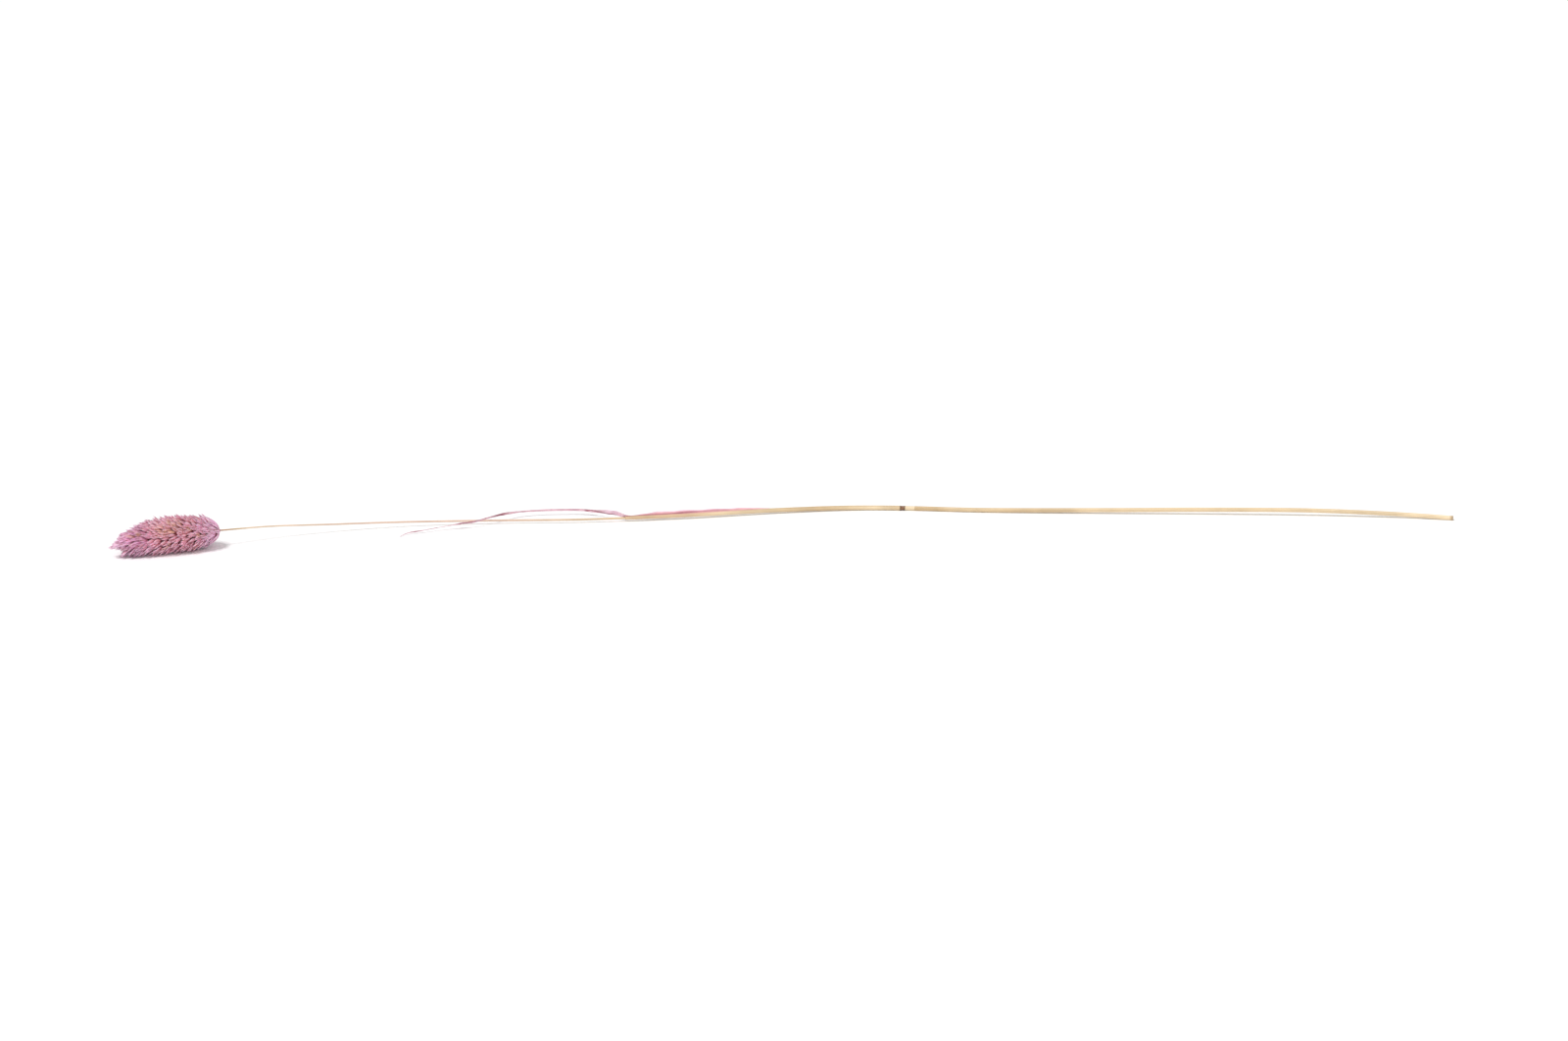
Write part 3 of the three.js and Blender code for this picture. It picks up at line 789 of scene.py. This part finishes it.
def hair_sheet(glumes, tints, length):
    """Fine hairs along the glumes' keels: three-sided spikes that lean towards the tip and out.

    Each hair is two rings and a pole at both ends, on a line that leaves the keel between the
    glume's own direction and straight out, and bends towards the glume's tip past its middle.
    """
    roots = glumes[:, HAIR_ROWS, KEEL_COLUMNS].mean(2)
    forward = unit(glumes[:, np.array(HAIR_ROWS) + 1, KEEL_COLUMNS].mean(2) - roots)
    outward = unit(roots - glumes[:, HAIR_ROWS][:, :, MARGIN_COLUMNS].mean(2))
    index = np.arange(roots[..., 0].size).reshape(roots.shape[:2])
    lean = (0.75 + 0.5 * draw(index, 16))[..., None]
    sway = 0.4 * draw(index, 17)[..., None] * np.cross(forward, outward)
    toward = unit(forward + outward * lean + sway)
    first = unit(np.cross(toward, forward))
    second = np.cross(toward, first)
    turn = np.linspace(0, math.tau, 4)[:, None]
    ring = first[..., None, :] * np.cos(turn) + second[..., None, :] * np.sin(turn)
    reach = (length * (0.7 + 0.3 * draw(index, 18)))[..., None, None]
    root, toward, forward = (part[..., None, :] for part in (roots, toward, forward))
    base = root + 0 * ring
    foot = root + ring * HAIR_R
    middle = root + toward * reach / 2 + ring * HAIR_R * 0.7
    tip = root + (toward + 0.25 * forward) * reach + 0 * ring
    points = np.stack([base, foot, middle, tip], -3).reshape(-1, 4, 4, 3)
    tint = tints[:, HAIR_ROWS, 2].reshape(-1, 1, 1, 3)
    return as_sheet(pressed_flat(points, 0.02, 0), tint)


class PHALARIS_OT_seed_head(bpy.types.Operator):
    """Adds the seed head: its core, darkened with painted shade, and every spikelet's florets,
    glumes and hairs
    """

    bl_idname = "phalaris.seed_head"
    bl_label = "Seed head"

    def execute(self, context):
        sizes, colours = chosen(context)
        papery = glume_material(colours)
        spikelets = Spikelets(sizes)
        points = glume_points(spikelets)
        tints = glume_tints(spikelets, colours)
        pieces = (
            ("head_core", core_sheet(colours), core_material(colours), 0),
            ("glumes", as_sheet(points, tints), papery, sizes.glume_wall / MM),
            ("florets", floret_sheet(spikelets, colours), papery, 0),
            ("glume_hairs", hair_sheet(points, tints, sizes.hair_length / MM), papery, 0),
        )
        for name, sheet, material, wall in pieces:
            make_piece(context, name, sheet, material, "seed_head", wall)
        return {"FINISHED"}


def culm_sheet(colours):
    """The culm: its profile turned round the stem, from a pole in the head to one on the hollow's
    floor. Above the node its radius goes up and down by 3.5%, twice round the stem."""
    top, end = CULM_PROFILE[0][0], STEM.length
    even = np.arange(top, end - 0.4, CULM_STEP)
    close = np.arange(NODE_AT - 2.6, LOWER_SHEATH_AT + 1.3, NODE_STEP)
    at = np.unique(np.round(np.concatenate([even, close, [end - 0.4, end - 0.1]]), 4))
    past, tail = np.transpose(CUT_END)
    radius = np.concatenate([[0], value_at(CULM_PROFILE, at), tail])[:, None]
    at = np.concatenate([[top - 0.2], at, end + past])
    angle = np.linspace(0, math.tau, CULM_SIDES + 1)
    flat = 1 + 0.035 * np.cos(2 * angle + at[:, None] / 31) * (at[:, None] < NODE_AT - 4)
    straw, pale, dark = colours.straw, colours.pale_straw, colours.dark_straw
    pink, brown = colours.pink_straw, np.array(colours.node_brown)
    stops = [
        # Painted shade: where the culm leaves the head it is darker and tinged with the core's
        # colour.
        (HEAD_LENGTH, mix(dark, colours.core, 0.35)),
        (HEAD_LENGTH + 7, dark),
        (HEAD_LENGTH + 14, mix(pale, pink, 0.5)),
        (HEAD_LENGTH + 70, pink),
        (COLLAR_AT - 60, pink),
        (COLLAR_AT, straw),
        (RING_AT - 1.35, straw),
        *((RING_AT + out, brown * shade) for out, shade in NODE_SHADES),
        (RING_AT + 1.35, pale),
        (LOWER_SHEATH_AT, pale),
        (end - 0.5, straw),
        (end, mix(brown, straw, 0.7)),
    ]
    return round_stem(at, radius * flat, angle, stops)


class PHALARIS_OT_culm(bpy.types.Operator):
    """Adds the culm with its node and its hollow cut end"""

    bl_idname = "phalaris.culm"
    bl_label = "Culm"

    def execute(self, context):
        colours = context.scene.phalaris_colours
        material = straw_material("waxy_straw_culm", colours)
        make_piece(context, "culm_stalk", culm_sheet(colours), material, "culm")
        return {"FINISHED"}


def rolled_sheath(at, outer, bore, edge_angle, stops):
    """A leaf sheath rolled round the stem, whose outer margin lies over its tucked inner one.

    At each place along the stem a closed profile starts at the outer margin, runs round the outer
    face for a full turn and an overlap, and comes back along the inner face. The outer margin is
    thin, and the last stretch of the outer face sinks below it by an S. At both ends of the
    sheath the two faces meet in the middle of the wall.
    """
    full = math.tau
    turn = np.concatenate([
        [0, 0.1, 0.3],
        np.linspace(1.1, 1.7, 3) * SHEATH_OVERLAP,
        np.linspace(2 * SHEATH_OVERLAP, full - SHEATH_OVERLAP, 22),
        full - SHEATH_OVERLAP * np.array([0.6, 0.3, 0.05]),
        full + SHEATH_OVERLAP * np.array([0.4, 1]),
    ])
    outer, bore = outer[:, None], bore[:, None]
    sunk = (ROLLED_EDGE + 0.03) * smooth_step(full - SHEATH_OVERLAP, full - 0.05, turn)
    thin = 1 - smooth_step(1.1 * SHEATH_OVERLAP, 1.7 * SHEATH_OVERLAP, turn)
    top = outer - sunk
    under = bore + np.maximum(0, outer - bore - ROLLED_EDGE) * thin
    middle = (top + under) / 2
    radius = np.hstack([top, under[:, ::-1], top[:, :1]])
    ends = np.hstack([middle, middle[:, ::-1], middle[:, :1]])
    radius = np.vstack([ends[:1], radius, ends[-1:]])
    at = np.concatenate([at[:1], at, at[-1:]])
    angle = edge_angle + np.concatenate([turn, turn[::-1], turn[:1]])
    points, uv, tint = round_stem(at, radius, angle, stops)
    return points, uv, tint * (1 - 0.08 * bell(angle, edge_angle, 0.08)[:, None])


def flag_sheath_sheet(sizes, colours):
    """The flag leaf's sheath, rolled. Its wall thins by an S towards its mouth, and its bore widens
    over the node's first rim. Dye has spread over its top from the lifted margin."""
    foot = RING_AT - 1.3
    at = np.concatenate([
        np.linspace(COLLAR_AT, COLLAR_AT + 6, 7),
        np.linspace(COLLAR_AT + 7.5, foot - 1.5, 86),
        foot - np.array([1, 0.6, 0.3, 0]),
    ])
    mouth_r, foot_r = COLLAR_R + SHEATH_GAP, NODE_R + SHEATH_GAP
    bore = value_at([(COLLAR_AT, mouth_r), (foot - 0.6, foot_r), (foot, 0.95)], at)
    thinned = 0.17 * (1 - smooth_step(COLLAR_AT - 1, COLLAR_AT + 6, at))
    thinned += 0.02 * smooth_step(foot - 1, foot, at)
    wall = sizes.sheath_wall / MM
    outer = value_at([(COLLAR_AT, mouth_r), (foot, foot_r)], at) + wall - thinned
    tinged = mix(mix(colours.dark_straw, colours.straw, 0.5), colours.sheath_pink, 0.12)
    stops = [(COLLAR_AT, tinged), (COLLAR_AT + 30, tinged)]
    stops += straw_stops(colours, COLLAR_AT, FLAG_SHADES)
    points, uv, tint = rolled_sheath(at, outer, bore, FLAG_MARGIN_ANGLE, stops)
    spread = value_at(MARGIN_FLARE, uv[..., 1:] * STEM.length)
    near = spread * bell(uv[..., :1] * math.tau, MARGIN_ANGLE + 0.2, 0.75)
    return points, uv, mix(tint, colours.sheath_pink, np.clip(0.7 * near, 0, 0.7))


class PHALARIS_OT_flag_sheath(bpy.types.Operator):
    """Adds the flag leaf's sheath, from its mouth at the collar to its foot on the node"""

    bl_idname = "phalaris.flag_sheath"
    bl_label = "Flag leaf sheath"

    def execute(self, context):
        sizes, colours = chosen(context)
        material = straw_material("ribbed_leaf_sheath", colours, 0.48)
        make_piece(context, "flag_sheath", flag_sheath_sheet(sizes, colours), material, "flag_leaf")
        return {"FINISHED"}


class PHALARIS_OT_flag_blade(bpy.types.Operator):
    """Adds the flag leaf's twisted blade, the margin that runs down its sheath, and its ligule"""

    bl_idname = "phalaris.flag_blade"
    bl_label = "Flag leaf blade"

    def execute(self, context):
        sizes, colours = chosen(context)
        material = leaf_material(colours)
        pieces = (
            ("flag_blade", blade_sheet(sizes, colours), sizes.blade_wall / MM),
            ("sheath_margin", margin_sheet(sizes, colours), MARGIN_WALL),
            ("ligule", ligule_sheet(colours), LIGULE_WALL),
        )
        for name, sheet, wall in pieces:
            make_piece(context, name, sheet, material, "flag_leaf", wall, 0)
        return {"FINISHED"}


def blade_sheet(sizes, colours):
    """The blade: a ribbon carried along its own line. At each share of its length the row is turned
    by the twist, its half width follows the taper, its crease stands out by the fold and its edges
    ripple by a sine. Its base is the palest. Painted shade darkens its crease, its bend out of the
    sheath and, darkest, the knots of its twist; its edges darken a little too."""
    bore = COLLAR_R + SHEATH_GAP
    roots = [STEM.beside(COLLAR_AT + at, bore + out, BLADE_ROOT_ANGLE) for at, out in BLADE_ROOTS]
    line = Line([*roots, *BLADE_LINE])
    share = np.linspace(0, 1, BLADE_ROWS)
    origin, _, side, lift = line.frames(share * line.length)
    turn = np.radians(eased(BLADE_TWISTS, share))[:, None]
    across = side * np.cos(turn) + lift * np.sin(turn)
    out = lift * np.cos(turn) - side * np.sin(turn)
    taper = value_at(BLADE_TAPER, share)[:, None, None]
    place = np.linspace(1, -1, BLADE_COLUMNS)[None, :, None]
    half = sizes.blade_width / MM / 2 * taper
    ripple = 0.06 * np.sin(share * 170)[:, None, None] * place**3
    fold = value_at(BLADE_FOLDS, share)[:, None, None]
    crease = value_at(BLADE_CREASES, share)[:, None, None]
    rise = fold * taper * (1 - np.abs((place - crease) / (1 + np.abs(crease))) ** 1.2) + ripple
    points = (origin[:, None] + across[:, None] * place * half + out[:, None] * rise)[None]

    share = share[:, None, None]
    leaf = mix(colours.leaf, colours.leaf_base, bell(share, 0.07, 0.055, 4))
    # Painted shade: the crease, the bend near the base and, most, the knots of the twist darken
    # towards the vein colour. The edges darken a little as well.
    fold = 0.5 * bell(place, crease, 0.16) + 0.3 * smooth_step(0.85, 1, np.abs(place))
    knot_shade = sum(bell(share, at, reach) for at, reach in BLADE_KNOT_SHADES)
    base = smooth_step(0.05, 0.09, share) * (1 - smooth_step(0.19, 0.23, share))
    bend_shade = bell(place, crease, 0.4) * base
    dark = np.clip(fold * (0.4 + 0.25 * np.sin(share * 60)) + 0.95 * knot_shade, 0, 1)
    tint = mix(mix(leaf, colours.vein_and_fold_shade, dark), np.array(colours.vein_and_fold_shade) * 0.7, bend_shade)
    return as_sheet(points, tint)


def margin_sheet(sizes, colours):
    """The sheath's thin margin: it leaves the wall behind the top of the stem, rises by the flare
    and waves by sines along its edge. Painted shade makes it darkest on its fold, which climbs to
    the edge."""
    at = np.linspace(COLLAR_AT + 0.4, MARGIN_FLARE[-1][0], 90)[:, None]
    share = np.linspace(0, 1, 9)
    culm = value_at([(COLLAR_AT, COLLAR_R), (NODE_AT, NODE_R)], at)
    outer = SHEATH_GAP + sizes.sheath_wall / MM + culm
    flare = eased([(COLLAR_AT, 0.2), *MARGIN_FLARE], at)
    wave = 1 + 0.09 * np.sin(at / 2.3) * share
    angle = MARGIN_ANGLE + MARGIN_CURL * share + 0.12 * np.sin(at / 5.1) * share
    radius = outer - 0.06 + (MARGIN_WIDTH * flare + 0.16) * share * wave
    points = STEM.beside(at, radius, angle)[None]
    climb = value_at([(262, 0), (272, 0.12), (280, 0.38), (290, 0.45), (310, 0.4)], at)
    spread = value_at([(255, 0.9), (266, 0.3)], at)
    depth = value_at([(282, 1), (294, 0.5), (308, 0.15)], at)
    # Painted shade along the margin's fold.
    fold = (depth * bell(share, climb, spread))[..., None]
    edge = smooth_step(0.5, 1, share)[:, None]
    tint = mix(colours.sheath_pink, colours.leaf_base, edge)
    tint = mix(tint, colours.vein_and_fold_shade, 0.9 * fold)
    return as_sheet(points, tint)


def ligule_sheet(colours):
    """The ligule: a torn membrane that stands out of the sheath's mouth between blade and stem. Its
    reach falls with the square of the place across it, and draws make its edge uneven."""
    share = np.linspace(0, 1, 6)[:, None]
    across = np.linspace(-1, 1, 9)
    angle = BLADE_ROOT_ANGLE - 0.6 + 0.9 * across
    reach = LIGULE_REACH * (1 - 0.55 * across**2) + 0.25 * draw(np.arange(9), 11)
    at = COLLAR_AT + 0.6 - reach * share
    points = STEM.beside(at, COLLAR_R + SHEATH_GAP + 0.25 * share, angle)[None]
    tint = mix(colours.leaf, np.array(colours.vein_and_fold_shade) * 0.5, share[..., None])
    return as_sheet(points, tint)


def lower_sheath_sheet(sizes, colours):
    """The lower leaf's sheath, rolled. Its mouth lies over the culm's thick end below the node, and
    from there its wall is nearly even down to the cut end."""
    mouth, end = LOWER_SHEATH_AT + 0.4, STEM.length
    close = mouth + np.array([0, 0.25, 0.5, 0.8, 1.2, 2])
    at = np.concatenate([close, np.linspace(mouth + 3.5, end, 128)])
    bore = value_at([(mouth, 1.01), (mouth + 0.3, 1.01), (mouth + 0.8, 0.78), (end, 0.76)], at)
    outer = value_at([(mouth, 1.04), (mouth + 0.8, 0.76 + sizes.sheath_wall / MM)], at)
    stops = straw_stops(colours, mouth, LOWER_SHADES) + straw_stops(colours, end, END_SHADES)
    stops.append((end, mix(colours.dark_straw, colours.node_brown, 0.25)))
    return rolled_sheath(at, outer, bore, LOWER_MARGIN_ANGLE, stops)


class PHALARIS_OT_lower_sheath(bpy.types.Operator):
    """Adds what is left of the lower leaf: its sheath, cut through with the culm"""

    bl_idname = "phalaris.lower_sheath"
    bl_label = "Lower sheath"

    def execute(self, context):
        sizes, colours = chosen(context)
        material = straw_material("weathered_leaf_sheath", colours, 0.5)
        sheath = lower_sheath_sheet(sizes, colours)
        make_piece(context, "lower_sheath_wall", sheath, material, "lower_sheath")
        return {"FINISHED"}


def in_metres(point):
    """A point of the tables in the part's frame."""
    return Vector((np.array(point, float) - PART_ORIGIN) * MM)


class PHALARIS_OT_stage(bpy.types.Operator):
    """Adds the plain pale floor, the soft studio light and the camera"""

    bl_idname = "phalaris.stage"
    bl_label = "Stage"

    def execute(self, context):
        scene = context.scene
        colours = scene.phalaris_colours
        sides = ((-1, -1), (1, -1), (1, 1), (-1, 1))
        mesh = bpy.data.meshes.new("floor")
        corners = [(x * FLOOR_REACH, y * FLOOR_REACH, 0) for x, y in sides]
        mesh.from_pydata(corners, [], [(0, 1, 2, 3)])
        mesh.materials.append(floor_material(colours))
        floor = bpy.data.objects.new("floor", mesh)
        scene.collection.objects.link(floor)

        world = bpy.data.worlds.new("soft_room")
        world.use_nodes = True
        scene.world = world
        background = world.node_tree.nodes["Background"]
        background.inputs["Color"].default_value = (1, 1, 1, 1)
        background.inputs["Strength"].default_value = ROOM_LIGHT
        for name, kind, place, strength, setting, softness in LIGHTS:
            light = bpy.data.lights.new(name, kind)
            light.energy = strength
            setattr(light, setting, softness)
            lamp = bpy.data.objects.new(name, light)
            lamp.location = place
            lamp.rotation_euler = (-Vector(place)).to_track_quat("-Z", "Y").to_euler()
            scene.collection.objects.link(lamp)

        data = bpy.data.cameras.new("camera")
        data.lens = LENS_MM
        camera = bpy.data.objects.new("camera", data)
        camera.location = in_metres(CAMERA_AT)
        view = in_metres(CAMERA_AIM) - camera.location
        camera.rotation_euler = view.to_track_quat("-Z", "Y").to_euler()
        scene.collection.objects.link(camera)
        scene.camera = camera
        scene.view_settings.view_transform = "Standard"
        return {"FINISHED"}


STEPS = (
    PHALARIS_OT_seed_head, PHALARIS_OT_culm, PHALARIS_OT_flag_sheath,
    PHALARIS_OT_flag_blade, PHALARIS_OT_lower_sheath, PHALARIS_OT_stage,
)


class VIEW3D_PT_phalaris(bpy.types.Panel):
    """Sizes, colours and steps of the dried phalaris"""

    bl_label = "Dried phalaris grass"
    bl_space_type = "VIEW_3D"
    bl_region_type = "UI"
    bl_category = "Phalaris"

    def draw(self, context):
        for group in chosen(context):
            box = self.layout.box()
            for name in group.__annotations__:
                box.prop(group, name)
        for step in STEPS:
            self.layout.operator(step.bl_idname)


CLASSES = (PhalarisSizes, PhalarisColours, *STEPS, VIEW3D_PT_phalaris)


def register():
    for kind in CLASSES:
        bpy.utils.register_class(kind)
    bpy.types.Scene.phalaris_sizes = bpy.props.PointerProperty(type=PhalarisSizes)
    bpy.types.Scene.phalaris_colours = bpy.props.PointerProperty(type=PhalarisColours)


def unregister():
    del bpy.types.Scene.phalaris_colours
    del bpy.types.Scene.phalaris_sizes
    for kind in reversed(CLASSES):
        bpy.utils.unregister_class(kind)


def main():
    register()
    bpy.ops.phalaris.seed_head()
    bpy.ops.phalaris.culm()
    bpy.ops.phalaris.flag_sheath()
    bpy.ops.phalaris.flag_blade()
    bpy.ops.phalaris.lower_sheath()
    bpy.ops.phalaris.stage()


if __name__ == "__main__":
    main()
